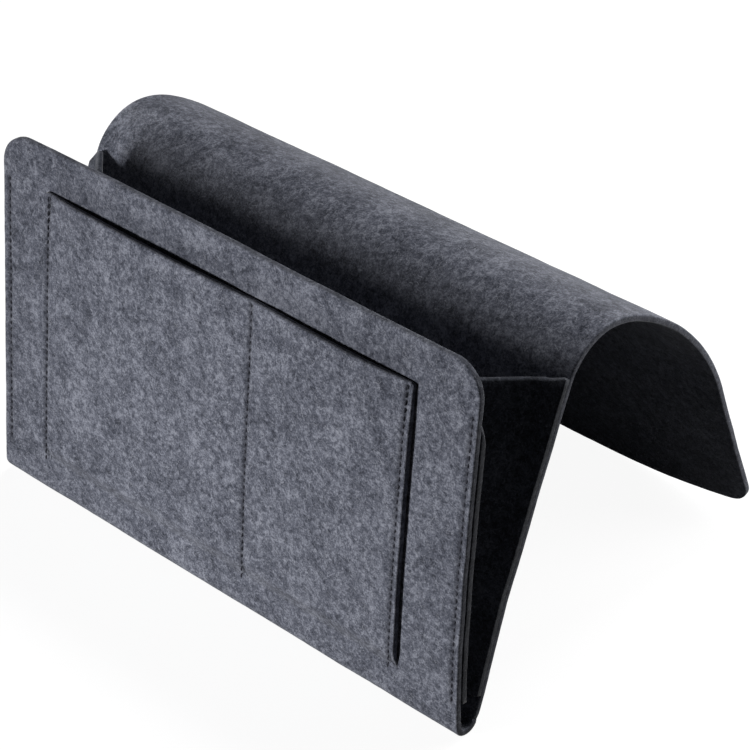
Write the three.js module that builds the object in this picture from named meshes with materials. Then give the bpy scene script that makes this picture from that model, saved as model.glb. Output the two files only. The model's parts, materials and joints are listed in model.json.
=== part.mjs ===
// Felt bedside caddy: one folded strip of felt makes the front panel, the bottom fold, the back wall,
// the saddle and the flap that goes under a mattress. Two pleated gussets close the ends of the pocket,
// and a stitched patch on the front makes two small pockets.
// Units are millimetres. X runs along the caddy, Y from the front to the back, Z up. The floor is Z = 0.
import * as THREE from 'three';

// Sizes
const WIDTH = 320;
const FELT = 3.5;
const SEAM_GAP = 0.1;
const FOLD_GAP = 0.5;
const SADDLE_GAP = 0.9;

// Side profile of the strip, along the middle of its thickness, with angles in degrees
const FRONT_LEAN = 4.6;
const FRONT_LENGTH = 193;
const FOLD_RADIUS = 6;
const BACK_LEAN = 21.6;
const BACK_LENGTH = 170;
const CROWN_RADIUS = 30.4;
const CROWN_END = 97.4;
const SHOULDER_RADIUS = 56.3;
const SHOULDER_END = 115.4;
const SLOPE_RADIUS = 143.4;
const SLOPE_END = 157.8;
const CREST_HEADING = 90;

// Corners of the front panel and of the flap's end
const FRONT_CORNER = 17;
const FLAP_CORNER = 12;
const FLAP_BOW_START = 60;
const FLAP_BOW_DEPTH = 17;
const FLAP_BOW_STEPS = 6;

// Pocket patch on the front panel, with heights measured up the panel from the fold
const PATCH_LEFT = -126.8;
const PATCH_RIGHT = 124;
const PATCH_DIVIDER = 21.8;
const PATCH_BOTTOM = 16;
const PATCH_TOP = 172;
const PATCH_SLACK = 2.6;
const PATCH_SEAM = 3.5;
const SEAM_FLAT = 1;
const PATCH_STEPS = 12;
const PATCH_ROWS = 8;

// Gussets, with heights measured up the panels from the fold
const FLANGE_WIDTH = 10;
const GUSSET_BOTTOM = 12;
const GUSSET_TOP = 170;
const GUSSET_DIP = 8;
const GUSSET_ANGLE = 46;
const CREASE_GAP = 1.2;
const HINGE_GAP = 0.15;

// Stitching
const SEAM_INSET = 3.5;
const SEAM_END_INSET = 2;
const STITCH_LENGTH = 4;
const THREAD_WIDTH = 0.9;
const THREAD_HEIGHT = 0.55;
const THREAD_DIP = 0.25;
const SECTIONS_PER_STITCH = 4;

const ROUNDING_STEPS = 8;
const ARC_STEP = 6;

const feltMaterial = new THREE.MeshStandardMaterial({ color: 0x5d6068, roughness: 0.96, metalness: 0 });
const gussetMaterial = new THREE.MeshStandardMaterial({ color: 0x53565e, roughness: 0.96, metalness: 0 });
const patchMaterial = new THREE.MeshStandardMaterial({ color: 0x62656d, roughness: 0.96, metalness: 0 });
const threadMaterial = new THREE.MeshStandardMaterial({ color: 0x15171f, roughness: 0.7, metalness: 0 });

const radians = THREE.MathUtils.degToRad;

/** Direction in the side plane for a heading in degrees, turned from straight up towards the back. */
function headingVector(heading) {
  const angle = radians(heading);
  return new THREE.Vector3(0, Math.sin(angle), Math.cos(angle));
}

/** Normal to the right of a heading in the side plane. */
function rightOf(heading) {
  const angle = radians(heading);
  return new THREE.Vector3(0, Math.cos(angle), -Math.sin(angle));
}

/** A straight run or an arc of the strip, from its start point and heading. */
class Run {
  constructor(start, heading, { length = 0, radius = 0, turn = 0 }) {
    this.start = start;
    this.heading = heading;
    this.radius = radius;
    this.turn = turn;
    this.length = turn ? radius * radians(Math.abs(turn)) : length;
  }

  /** Point, heading and right-hand normal at a share of the run from 0 to 1. */
  at(share) {
    const heading = this.heading + this.turn * share;
    const normal = rightOf(heading);
    if (!this.turn) {
      const point = this.start.clone().addScaledVector(headingVector(this.heading), this.length * share);
      return { point, heading, normal };
    }
    const side = Math.sign(this.turn);
    const centre = this.start.clone().addScaledVector(rightOf(this.heading), side * this.radius);
    const point = centre.addScaledVector(normal, -side * this.radius);
    return { point, heading, normal };
  }

  get end() {
    return this.at(1);
  }
}

/** Shares from 0 to 1 that cut a run into steps of at most ARC_STEP degrees. */
function arcShares(run) {
  const steps = Math.max(1, Math.ceil(Math.abs(run.turn) / ARC_STEP));
  return Array.from({ length: steps + 1 }, (_, i) => i / steps);
}

/**
 * Closed felt solid over a grid of stations: each row holds points across the felt with their normals.
 * The felt lies half its thickness to each side of the points.
 */
function feltSolid(rows, thickness = FELT) {
  const count = rows.length;
  const across = rows[0].length;
  const positions = [];
  const offset = (entry, side) => entry.point.clone().addScaledVector(entry.normal, (side * thickness) / 2);
  for (const side of [1, -1]) {
    for (const row of rows) {
      for (const entry of row) positions.push(...offset(entry, side).toArray());
    }
  }
  const index = (side, i, j) => side * count * across + i * across + j;
  const faces = [];
  const quad = (a, b, c, d) => faces.push(a, b, c, a, c, d);
  for (let i = 0; i < count - 1; i += 1) {
    for (let j = 0; j < across - 1; j += 1) {
      quad(index(0, i, j), index(0, i, j + 1), index(0, i + 1, j + 1), index(0, i + 1, j));
      quad(index(1, i, j), index(1, i + 1, j), index(1, i + 1, j + 1), index(1, i, j + 1));
    }
  }
  const last = across - 1;
  for (let i = 0; i < count - 1; i += 1) {
    quad(index(0, i, 0), index(0, i + 1, 0), index(1, i + 1, 0), index(1, i, 0));
    quad(index(0, i + 1, last), index(0, i, last), index(1, i, last), index(1, i + 1, last));
  }
  const bottom = count - 1;
  for (let j = 0; j < across - 1; j += 1) {
    quad(index(0, 0, j + 1), index(0, 0, j), index(1, 0, j), index(1, 0, j + 1));
    quad(index(0, bottom, j), index(0, bottom, j + 1), index(1, bottom, j + 1), index(1, bottom, j));
  }
  const geometry = new THREE.BufferGeometry();
  geometry.setAttribute('position', new THREE.Float32BufferAttribute(positions, 3));
  geometry.setIndex(faces);
  if (signedVolume(geometry) < 0) flipFaces(geometry);
  geometry.computeVertexNormals();
  return geometry;
}

/** Volume of a closed mesh, negative where its faces point inwards. */
function signedVolume(geometry) {
  const position = geometry.getAttribute('position');
  const order = geometry.getIndex();
  const [a, b, c] = [new THREE.Vector3(), new THREE.Vector3(), new THREE.Vector3()];
  let volume = 0;
  for (let i = 0; i < order.count; i += 3) {
    a.fromBufferAttribute(position, order.getX(i));
    b.fromBufferAttribute(position, order.getX(i + 1));
    c.fromBufferAttribute(position, order.getX(i + 2));
    volume += a.dot(b.cross(c)) / 6;
  }
  return volume;
}

/** Turns every face of a mesh to point the other way. */
function flipFaces(geometry) {
  const order = geometry.getIndex();
  for (let i = 0; i < order.count; i += 3) {
    const second = order.getX(i + 1);
    order.setX(i + 1, order.getX(i + 2));
    order.setX(i + 2, second);
  }
}

/** A row of two points across the strip, at one place along it. */
function stripRow(station, halfWidth = WIDTH / 2) {
  return [-halfWidth, halfWidth].map((x) => ({
    point: station.point.clone().setX(x),
    normal: station.normal,
  }));
}

/** Half width of a rounded corner at a distance from the end. */
function roundedHalfWidth(distance, radius) {
  if (distance >= radius) return WIDTH / 2;
  return WIDTH / 2 - radius + Math.sqrt(radius ** 2 - (radius - distance) ** 2);
}

/** Shares of a quarter turn that space the rows of a rounded corner evenly. */
const cornerShares = Array.from({ length: ROUNDING_STEPS + 1 }, (_, i) => {
  const quarter = (i / ROUNDING_STEPS) * (Math.PI / 2);
  return 1 - Math.cos(quarter);
});

/** A rectangular felt plate from its corner, two edge directions and its normal. */
function feltPlate(corners, normal, thickness = FELT) {
  const [a, b, c, d] = corners.map((point) => ({ point, normal }));
  return feltSolid([[a, b], [d, c]], thickness);
}

/** One named sub-part. */
function piece(name, geometry, material) {
  const mesh = new THREE.Mesh(geometry, material.clone());
  mesh.name = name;
  return mesh;
}

// The strip, from the top of the front panel to the end of the flap
const foldCentre = new THREE.Vector3(0, 0, FOLD_RADIUS + FELT / 2);
const frontFoot = foldCentre.clone().addScaledVector(rightOf(FRONT_LEAN), -FOLD_RADIUS);
const front = new Run(frontFoot, FRONT_LEAN, { length: FRONT_LENGTH });
const HALF_TURN = 180;
const fold = new Run(frontFoot, FRONT_LEAN + HALF_TURN, {
  radius: FOLD_RADIUS,
  turn: BACK_LEAN - FRONT_LEAN - HALF_TURN,
});
const back = new Run(fold.end.point, BACK_LEAN, { length: BACK_LENGTH });
const crownFront = new Run(back.end.point, BACK_LEAN, {
  radius: CROWN_RADIUS,
  turn: CREST_HEADING - BACK_LEAN,
});
const crownBack = new Run(crownFront.end.point, CREST_HEADING, {
  radius: CROWN_RADIUS,
  turn: CROWN_END - CREST_HEADING,
});
const shoulder = new Run(crownBack.end.point, CROWN_END, {
  radius: SHOULDER_RADIUS,
  turn: SHOULDER_END - CROWN_END,
});
const slope = new Run(shoulder.end.point, SHOULDER_END, {
  radius: SLOPE_RADIUS,
  turn: SLOPE_END - SHOULDER_END,
});
const flapDown = -headingVector(SLOPE_END).z;
const flapDrop = slope.end.point.z + rightOf(SLOPE_END).z * (FELT / 2);
const flap = new Run(slope.end.point, SLOPE_END, { length: flapDrop / flapDown });

/** Front panel: flat felt with rounded top corners. */
function frontPanel() {
  const rows = cornerShares.map((share) => {
    const distance = share * FRONT_CORNER;
    return stripRow(front.at(1 - distance / FRONT_LENGTH), roundedHalfWidth(distance, FRONT_CORNER));
  });
  rows.push(stripRow(front.at(0)));
  return feltSolid(rows);
}

/** Bent felt that follows one or more arcs of the strip, less a gap at its first and last edge. */
function bentFelt(runs, firstGap, lastGap) {
  const rows = [];
  runs.forEach((run, order) => {
    const first = order === 0 ? firstGap / run.length : 0;
    const last = order === runs.length - 1 ? 1 - lastGap / run.length : 1;
    const shares = arcShares(run).slice(order === 0 ? 0 : 1);
    for (const share of shares) rows.push(stripRow(run.at(first + (last - first) * share)));
  });
  return feltSolid(rows);
}

/** Flap: flat felt whose end is bowed, with rounded corners. */
function mattressFlap() {
  const half = WIDTH / 2;
  const stops = [-1, 1].flatMap((side) => flapStops().map((x) => side * x)).sort((a, b) => a - b);
  const places = [...new Set(stops)];
  const start = places.map((x) => ({ point: flap.at(0).point.clone().setX(x), normal: flap.at(0).normal }));
  const end = places.map((x) => {
    const distance = flapEndRise(Math.min(Math.abs(x), half));
    const station = flap.at(1 - distance / flap.length);
    return { point: station.point.clone().setX(x), normal: station.normal };
  });
  return feltSolid([start, end]);
}

/** Distances from the middle at which the flap's end edge has a corner. */
function flapStops() {
  const half = WIDTH / 2;
  const bowLength = half - FLAP_CORNER - FLAP_BOW_START;
  const bow = [];
  for (let i = 0; i <= FLAP_BOW_STEPS; i += 1) bow.push(FLAP_BOW_START + (bowLength * i) / FLAP_BOW_STEPS);
  const corner = cornerShares.slice(0, -1).map((share) => half - FLAP_CORNER * share);
  return [0, ...bow, ...corner];
}

/** How far the flap's end edge lies above its lowest line, at a distance from the middle. */
function flapEndRise(x) {
  const half = WIDTH / 2;
  const bow = FLAP_BOW_DEPTH * (Math.max(0, x - FLAP_BOW_START) / (half - FLAP_BOW_START)) ** 2;
  const inCorner = Math.max(0, x - (half - FLAP_CORNER));
  return bow + FLAP_CORNER - Math.sqrt(FLAP_CORNER ** 2 - inCorner ** 2);
}

/** Point on a panel's face: x across, height up the panel from the fold, lift away from the fold's centre. */
function onPanel(lean, side, x, height, lift) {
  const outward = rightOf(lean).multiplyScalar(side);
  return foldCentre
    .clone()
    .setX(x)
    .addScaledVector(headingVector(lean), height)
    .addScaledVector(outward, FOLD_RADIUS + lift);
}

const FRONT_SIDE = -1;
const BACK_SIDE = 1;

/** The two spans of the patch between its seams, where it is slack. */
const patchSpans = [
  [PATCH_LEFT + PATCH_SEAM + SEAM_FLAT, PATCH_DIVIDER - SEAM_FLAT],
  [PATCH_DIVIDER + SEAM_FLAT, PATCH_RIGHT - PATCH_SEAM - SEAM_FLAT],
];

/** How far the slack patch stands off the front panel. */
function patchSlack(x, height) {
  const span = patchSpans.find(([from, to]) => x > from && x < to);
  if (!span) return 0;
  const [from, to] = span;
  const fromMiddle = (2 * x - from - to) / (to - from);
  const swell = 1 - fromMiddle ** 4;
  const rise = (height - PATCH_BOTTOM) / (PATCH_TOP - PATCH_BOTTOM);
  return PATCH_SLACK * swell * rise ** 1.5;
}

/** Pocket patch: felt sewn on at both sides and along the divider, slack at its mouths. */
function pocketPatch() {
  const columns = [PATCH_LEFT];
  for (const [from, to] of patchSpans) {
    for (let i = 0; i <= PATCH_STEPS; i += 1) columns.push(from + ((to - from) * i) / PATCH_STEPS);
  }
  columns.push(PATCH_RIGHT);
  const normal = rightOf(FRONT_LEAN).negate();
  const rows = [];
  for (let i = 0; i <= PATCH_ROWS; i += 1) {
    const height = PATCH_TOP + ((PATCH_BOTTOM - PATCH_TOP) * i) / PATCH_ROWS;
    rows.push(
      columns.map((x) => ({
        point: onPanel(FRONT_LEAN, FRONT_SIDE, x, height, FELT + SEAM_GAP + patchSlack(x, height)),
        normal,
      })),
    );
  }
  return feltSolid(rows);
}

/** Flange of a gusset, sewn flat to the inside of a panel, flush with the panel's end. */
function gussetFlange(lean, panelSide, end) {
  const lift = -FELT - SEAM_GAP;
  const outer = (end * WIDTH) / 2;
  const inner = end * (WIDTH / 2 - FLANGE_WIDTH + HINGE_GAP);
  const corners = [
    onPanel(lean, panelSide, inner, GUSSET_BOTTOM, lift),
    onPanel(lean, panelSide, outer, GUSSET_BOTTOM, lift),
    onPanel(lean, panelSide, outer, GUSSET_TOP, lift),
    onPanel(lean, panelSide, inner, GUSSET_TOP, lift),
  ];
  return feltPlate(corners, rightOf(lean));
}

/** Width of a gusset half at a height: from its hinge on the flange to the crease in the middle. */
function gussetHalfWidth(height) {
  const halfWedge = radians((BACK_LEAN - FRONT_LEAN) / 2);
  const hingeOffset = FOLD_RADIUS - FELT / 2 - SEAM_GAP - FELT;
  const toMiddle = hingeOffset / Math.cos(halfWedge) + height * Math.sin(halfWedge);
  return toMiddle / Math.sin(radians(GUSSET_ANGLE));
}

/** Half of a gusset, leaning inwards from the flange to the crease, with its top edge falling to it. */
function gussetHalf(lean, panelSide, end) {
  const hingeX = end * (WIDTH / 2 - FLANGE_WIDTH);
  const lift = -FELT / 2 - SEAM_GAP - FELT;
  const away = rightOf(lean).multiplyScalar(-panelSide);
  const angle = radians(GUSSET_ANGLE);
  const along = new THREE.Vector3(-end * Math.cos(angle), 0, 0).addScaledVector(away, Math.sin(angle));
  const normal = new THREE.Vector3(-end * Math.sin(angle), 0, 0).addScaledVector(away, -Math.cos(angle));
  const creaseTop = GUSSET_TOP - GUSSET_DIP;
  const corner = (height, width) =>
    onPanel(lean, panelSide, hingeX, height, lift)
      .addScaledVector(along, width)
      .addScaledVector(normal, FELT / 2);
  const corners = [
    corner(GUSSET_BOTTOM, HINGE_GAP),
    corner(GUSSET_BOTTOM, gussetHalfWidth(GUSSET_BOTTOM) - CREASE_GAP),
    corner(creaseTop, gussetHalfWidth(creaseTop) - CREASE_GAP),
    corner(GUSSET_TOP, HINGE_GAP),
  ];
  return feltPlate(corners, normal);
}

/** A row of lockstitches: one thread that dips into the felt between stitches. */
function stitchRow(lean, panelSide, x, bottom, top, lift) {
  const stitches = Math.round((top - bottom) / STITCH_LENGTH);
  const sections = stitches * SECTIONS_PER_STITCH;
  const normal = rightOf(lean).multiplyScalar(panelSide);
  const rows = [];
  for (let i = 0; i <= sections; i += 1) {
    const arch = Math.abs(Math.sin((Math.PI * i) / SECTIONS_PER_STITCH));
    const tall = THREAD_DIP + (THREAD_HEIGHT - THREAD_DIP) * arch;
    const height = bottom + ((top - bottom) * i) / sections;
    const base = lift(height) + FELT / 2 + SEAM_GAP / 2;
    const scaled = normal.clone().multiplyScalar(tall);
    rows.push(
      [-0.5, 0.5].map((side) => ({
        point: onPanel(lean, panelSide, x + side * THREAD_WIDTH, height, base + tall / 2),
        normal: scaled,
      })),
    );
  }
  return feltSolid(rows, 1);
}

const ends = [
  ['left', -1],
  ['right', 1],
];
const onFront = () => 0;
const onPatch = () => FELT + SEAM_GAP;
const seamX = WIDTH / 2 - SEAM_INSET;
const backSeamTop = Math.min(GUSSET_TOP, BACK_LENGTH) - SEAM_END_INSET;

const caddy = new THREE.Group();
caddy.name = 'bedside_caddy';
caddy.add(
  piece('front_panel', frontPanel(), feltMaterial),
  piece('bottom_fold', bentFelt([fold], FOLD_GAP, 0), feltMaterial),
  piece('back_wall', feltSolid([stripRow(back.at(0)), stripRow(back.at(1))]), feltMaterial),
  piece('saddle_front', bentFelt([crownFront], 0, SADDLE_GAP), feltMaterial),
  piece('saddle_back', bentFelt([crownBack, shoulder, slope], 0, 0), feltMaterial),
  piece('mattress_flap', mattressFlap(), feltMaterial),
  piece('pocket_patch', pocketPatch(), patchMaterial),
);
for (const [side, end] of ends) {
  caddy.add(
    piece(`gusset_front_flange_${side}`, gussetFlange(FRONT_LEAN, FRONT_SIDE, end), gussetMaterial),
    piece(`gusset_front_half_${side}`, gussetHalf(FRONT_LEAN, FRONT_SIDE, end), gussetMaterial),
    piece(`gusset_back_half_${side}`, gussetHalf(BACK_LEAN, BACK_SIDE, end), gussetMaterial),
    piece(`gusset_back_flange_${side}`, gussetFlange(BACK_LEAN, BACK_SIDE, end), gussetMaterial),
    piece(
      `front_seam_thread_${side}`,
      stitchRow(FRONT_LEAN, FRONT_SIDE, end * seamX, GUSSET_BOTTOM, GUSSET_TOP, onFront),
      threadMaterial,
    ),
    piece(
      `back_seam_thread_${side}`,
      stitchRow(BACK_LEAN, BACK_SIDE, end * seamX, GUSSET_BOTTOM, backSeamTop, onFront),
      threadMaterial,
    ),
  );
}
const patchSeams = [
  ['patch_thread_left', PATCH_LEFT + PATCH_SEAM],
  ['patch_thread_divider', PATCH_DIVIDER],
  ['patch_thread_right', PATCH_RIGHT - PATCH_SEAM],
];
for (const [name, x] of patchSeams) {
  const bottom = PATCH_BOTTOM + SEAM_END_INSET;
  const top = PATCH_TOP - SEAM_END_INSET;
  caddy.add(piece(name, stitchRow(FRONT_LEAN, FRONT_SIDE, x, bottom, top, onPatch), threadMaterial));
}

// The part's origin is on the floor, under the middle of its box.
const box = new THREE.Box3().setFromObject(caddy);
const centreY = (box.min.y + box.max.y) / 2;
for (const mesh of caddy.children) mesh.position.set(0, -centreY, -box.min.z);

export default caddy;
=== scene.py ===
"""Felt bedside caddy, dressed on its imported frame.

Lengths are metres. X runs along the caddy, Y from its front to its back and Z up from the floor.
Each piece of felt is cut flat, with soft cut edges and pressed seam lines, and is then folded into place.
"""

import json
import logging
import math
from dataclasses import dataclass
from enum import Enum
from typing import Callable, Sequence

import bpy
import numpy as np
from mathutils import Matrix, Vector, noise


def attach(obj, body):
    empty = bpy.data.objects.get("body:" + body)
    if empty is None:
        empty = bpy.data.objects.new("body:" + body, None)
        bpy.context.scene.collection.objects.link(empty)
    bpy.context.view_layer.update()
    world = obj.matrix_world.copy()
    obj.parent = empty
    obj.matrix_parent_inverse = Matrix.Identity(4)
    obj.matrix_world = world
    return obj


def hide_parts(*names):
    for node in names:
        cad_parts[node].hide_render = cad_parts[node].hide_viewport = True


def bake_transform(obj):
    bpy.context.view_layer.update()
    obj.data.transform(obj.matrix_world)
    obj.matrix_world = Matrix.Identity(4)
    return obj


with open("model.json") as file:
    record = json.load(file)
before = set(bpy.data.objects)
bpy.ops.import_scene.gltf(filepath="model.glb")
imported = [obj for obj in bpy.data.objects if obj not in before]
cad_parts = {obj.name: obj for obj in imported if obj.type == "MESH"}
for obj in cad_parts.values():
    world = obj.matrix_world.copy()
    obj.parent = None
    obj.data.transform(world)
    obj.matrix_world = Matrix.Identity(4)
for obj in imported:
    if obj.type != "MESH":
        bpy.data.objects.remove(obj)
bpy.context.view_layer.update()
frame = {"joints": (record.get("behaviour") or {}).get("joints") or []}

log = logging.getLogger("bedside_caddy")

Place = Callable[[np.ndarray, np.ndarray, np.ndarray], np.ndarray]
Socket = bpy.types.NodeSocket
Colour = tuple[float, float, float]


class End(Enum):
    """The two ends of the caddy, as seen from the front."""

    LEFT = -1
    RIGHT = 1

    @property
    def word(self) -> str:
        """The end's name in lower case."""
        return self.name.lower()


class Panel(Enum):
    """The two walls of the main pocket, with the side of the fold that each stands on."""

    FRONT = -1
    BACK = 1

    @property
    def word(self) -> str:
        """The wall's name in lower case."""
        return self.name.lower()


@dataclass(frozen=True)
class StripSizes:
    """Driving sizes of the felt strip, in metres and in degrees from upright."""

    width: float = 0.320
    felt: float = 0.0035
    edge: float = 0.0008
    front_lean: float = 4.6
    front_length: float = 0.1936
    fold_radius: float = 0.006
    back_lean: float = 21.6
    back_length: float = 0.170
    crown_radius: float = 0.0304
    crown_end: float = 97.4
    shoulder_radius: float = 0.0563
    shoulder_end: float = 115.4
    slope_radius: float = 0.1434
    slope_end: float = 157.8
    front_corner: float = 0.017
    flap_corner: float = 0.012
    flap_bow_start: float = 0.060
    flap_bow_depth: float = 0.017
    seam_gap: float = 0.0001
    seam_inset: float = 0.0035
    seam_inset_left: float = 0.0043

    def lean(self, panel: Panel) -> float:
        """Lean of one wall of the pocket, in degrees."""
        return self.front_lean if panel is Panel.FRONT else self.back_lean


@dataclass(frozen=True)
class PatchSizes:
    """Driving sizes of the pocket patch, with heights measured up the front panel from the fold."""

    left: float = -0.1268
    right: float = 0.124
    divider: float = 0.0212
    bottom: float = 0.013
    top: float = 0.172
    slack_left: float = 0.0024
    slack_right: float = 0.0014
    slack_power: float = 1.5
    pinch: float = 0.0011
    pinch_width: float = 0.012
    pinch_reach: float = 0.030
    seam: float = 0.0035
    taper: float = 0.013
    thin: float = 0.0005
    mouth_edge: float = 0.0012
    left_lean: float = 0.0022
    mouth_shade: float = 0.43
    shade_reach: float = 0.011


@dataclass(frozen=True)
class GussetSizes:
    """Driving sizes of a gusset, with heights measured up the panels from the fold."""

    flange: float = 0.010
    inset: float = -0.0003
    pressed: float = 0.0003
    edge: float = 0.0014
    seam_edge: float = 0.0003
    bottom: float = 0.012
    top: float = 0.170
    left_rise: float = 0.003
    dip: float = 0.008
    left_dip: float = 0.024
    left_gather: float = 0.006
    gather_reach: float = 0.022
    front_chamfer: float = 0.014
    back_rise: float = 0.0045
    back_chamfer: float = 0.006
    angle: float = 46.0
    bend: float = 0.0008
    crease_lap: float = 0.0004
    widest_angle: float = 55.0
    mitre: float = 0.007


@dataclass(frozen=True)
class StitchSizes:
    """Driving sizes of the stitching; tip, belly and pucker are shares, and stops count groove widths."""

    pitch: float = 0.004
    share: float = 0.72
    radius: float = 0.00046
    tip: float = 0.55
    belly: float = 0.45
    hump: float = 0.00035
    slant: float = 0.0004
    pucker: float = 0.3
    end_inset: float = 0.002
    groove_depth: float = 0.0008
    groove_width: float = 0.0014
    groove_stops: tuple[float, ...] = (-2.2, -1.4, -0.8, -0.4, 0.0, 0.4, 0.8, 1.4, 2.2)
    groove_clear: float = 3.0


STRIP = StripSizes()
PATCH = PatchSizes()
GUSSET = GussetSizes()
STITCH = StitchSizes()

# Distances between stations, and counts of stations where the felt is cut to a curve
COARSE_STEP = 0.004
SADDLE_STEP = 0.003
FINE_STEP = 0.0015
COLUMN_DIGITS = 7
FRONT_CORNER_ROWS = 15
FLAP_CORNER_COLUMNS = 11
FLAP_ROWS = 36
GUSSET_ROWS = 46
GUSSET_COLUMNS = 16

# Rounding of an edge that joins another piece, and the attribute that darkens the felt: along pressed seams,
# partly as painted shade in their grooves, and as painted shade on cut edges, above the patch's mouths and
# inside the pocket
JOINED_EDGE = 0.00002
SEAM_AND_PAINTED_SHADE = "pressed"
HALF_TURN = 180.0


def joint_place(name: str) -> np.ndarray:
    """Where a joint of the frame sits.

    Args:
        name: The joint's name.

    Returns:
        Its point in metres.
    """
    joint = next(joint for joint in frame["joints"] if joint["name"] == name)
    return np.array(joint["pos_m"], float)


def heading_vector(heading: np.ndarray | float) -> np.ndarray:
    """Side-plane direction of a heading in degrees, turned from straight up towards the back."""
    angle = np.radians(heading)
    return np.stack([np.sin(angle), np.cos(angle)], -1)


def right_of(heading: np.ndarray | float) -> np.ndarray:
    """Side-plane normal to the right of a heading in degrees."""
    angle = np.radians(heading)
    return np.stack([np.cos(angle), -np.sin(angle)], -1)


def ease(value: np.ndarray | float) -> np.ndarray:
    """Smooth step from 0 to 1 as a value goes from 0 to 1."""
    held = np.clip(value, 0.0, 1.0)
    return held * held * (3.0 - 2.0 * held)


FOLD_CENTRE = joint_place("mouth_open")[1:]
CREST = joint_place("saddle_bend")


@dataclass(frozen=True)
class Run:
    """A straight stretch or an arc of the strip's side profile."""

    start: np.ndarray
    heading: float
    length: float
    turn: float = 0.0

    def at(self, along: np.ndarray) -> tuple[np.ndarray, np.ndarray]:
        """Follow the run.

        Args:
            along: Distances from the run's start.

        Returns:
            Points and right-hand normals in the side plane.
        """
        headings = self.heading + self.turn * along / self.length
        normals = right_of(headings)
        if not self.turn:
            return self.start + along[:, None] * heading_vector(self.heading), normals
        radius = self.length / math.radians(self.turn)
        centre = self.start + radius * right_of(self.heading)
        return centre - radius * normals, normals

    @property
    def end(self) -> np.ndarray:
        """The run's last point."""
        return self.at(np.array([self.length]))[0][0]


class SidePath:
    """The strip's side profile at mid thickness, from the top of the front panel to the flap's end."""

    def __init__(self, sizes: StripSizes) -> None:
        """Chain the runs.

        Args:
            sizes: Sizes of the strip.
        """
        lean = sizes.front_lean
        foot = FOLD_CENTRE - sizes.fold_radius * right_of(lean)
        top = foot + sizes.front_length * heading_vector(lean)
        self.runs = [Run(top, lean + HALF_TURN, sizes.front_length)]
        fold_turn = sizes.back_lean - lean - HALF_TURN
        self.bend(sizes.fold_radius, fold_turn)
        self.runs.append(Run(self.runs[-1].end, sizes.back_lean, sizes.back_length))
        self.bend(sizes.crown_radius, sizes.crown_end - sizes.back_lean)
        self.bend(sizes.shoulder_radius, sizes.shoulder_end - sizes.crown_end)
        self.bend(sizes.slope_radius, sizes.slope_end - sizes.shoulder_end)
        slope_foot = self.runs[-1].end
        drop = slope_foot[1] + right_of(sizes.slope_end)[1] * sizes.felt / 2
        self.runs.append(Run(slope_foot, sizes.slope_end, drop / -heading_vector(sizes.slope_end)[1]))
        self.stops = np.cumsum([0.0] + [run.length for run in self.runs])

    def bend(self, radius: float, turn: float) -> None:
        """Add an arc after the last run.

        Args:
            radius: Radius of the arc.
            turn: Turn in degrees, positive to the right.
        """
        last = self.runs[-1]
        self.runs.append(Run(last.end, last.heading + last.turn, radius * abs(math.radians(turn)), turn))

    def at(self, along: np.ndarray) -> tuple[np.ndarray, np.ndarray]:
        """Follow the whole profile.

        Args:
            along: Distances from the top of the front panel.

        Returns:
            Points and felt normals in the side plane.
        """
        points = np.zeros((len(along), 2))
        normals = np.zeros((len(along), 2))
        order = np.clip(np.searchsorted(self.stops, along, side="right") - 1, 0, len(self.runs) - 1)
        for index, run in enumerate(self.runs):
            here = order == index
            points[here], normals[here] = run.at(along[here] - self.stops[index])
        return points, normals

    @property
    def length(self) -> float:
        """Length of the whole strip."""
        return float(self.stops[-1])


PATH = SidePath(STRIP)

# Where the fold ends and the flat flap starts, along the strip
FOLD_END = float(PATH.stops[2])
FLAP_START = float(PATH.stops[-2])


@dataclass(frozen=True)
class SoftWalls:
    """How the soft walls depart from a straight fold: they sway, belly out and spread at their foot."""

    sway: float = 0.0012
    sway_wave: float = 0.195
    belly: float = 0.0035
    belly_skew: float = 0.7
    top_spread: float = 0.0006
    foot_spread: float = 0.0024
    foot_reach: float = 0.070
    spread_power: int = 5

    def sway_at(self, x: np.ndarray, height: np.ndarray) -> np.ndarray:
        """How far the front panel sways backwards along its top, less its belly towards the front.

        Args:
            x: Places along the caddy.
            height: Heights up the panel from the fold.

        Returns:
            Distances towards the back.
        """
        rise = np.clip(height / STRIP.front_length, 0.0, 1.0)
        across = np.clip(x / STRIP.width + 0.5, 0.0, 1.0)
        wave = np.sin(math.pi * STRIP.width * across / self.sway_wave)
        bulge = across**2 * np.sin(math.pi * rise**self.belly_skew)
        return self.sway * rise**2 * wave - self.belly * bulge

    def spread(self, panel: Panel, x: np.ndarray, height: np.ndarray) -> np.ndarray:
        """Let the ends of a wall of the pocket spread towards its foot.

        Args:
            panel: The wall.
            x: Places along the caddy.
            height: Heights up the wall from the fold.

        Returns:
            The places moved outwards, most of all at the ends.
        """
        if panel is Panel.FRONT:
            share = np.clip(height / STRIP.front_length, 0.0, 1.0)
            most = self.foot_spread + (self.top_spread - self.foot_spread) * share
        else:
            most = self.foot_spread * (1.0 - ease(height / self.foot_reach))
        outness = 2.0 * x / STRIP.width
        return x + most * outness**self.spread_power


SOFT = SoftWalls()


def on_panel(panel: Panel, x: np.ndarray, height: np.ndarray, lift: np.ndarray) -> np.ndarray:
    """Points by their place on a wall of the pocket.

    Args:
        panel: The wall.
        x: Places along the caddy.
        height: Heights up the wall from the fold.
        lift: Distances from the middle of the wall's felt, away from the pocket.

    Returns:
        Points in metres.
    """
    lean = STRIP.lean(panel)
    outward = right_of(lean) * panel.value
    reach = STRIP.fold_radius + lift
    side = FOLD_CENTRE + height[:, None] * heading_vector(lean) + reach[:, None] * outward
    spread_x = SOFT.spread(panel, x, height)
    if panel is Panel.FRONT:
        side = side - SOFT.sway_at(x, height)[:, None] * outward
    return np.column_stack([spread_x, side])


def on_front(x: np.ndarray, height: np.ndarray, lift: np.ndarray) -> np.ndarray:
    """Points by their place on the front panel, as on_panel gives them."""
    return on_panel(Panel.FRONT, x, height, lift)


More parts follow.
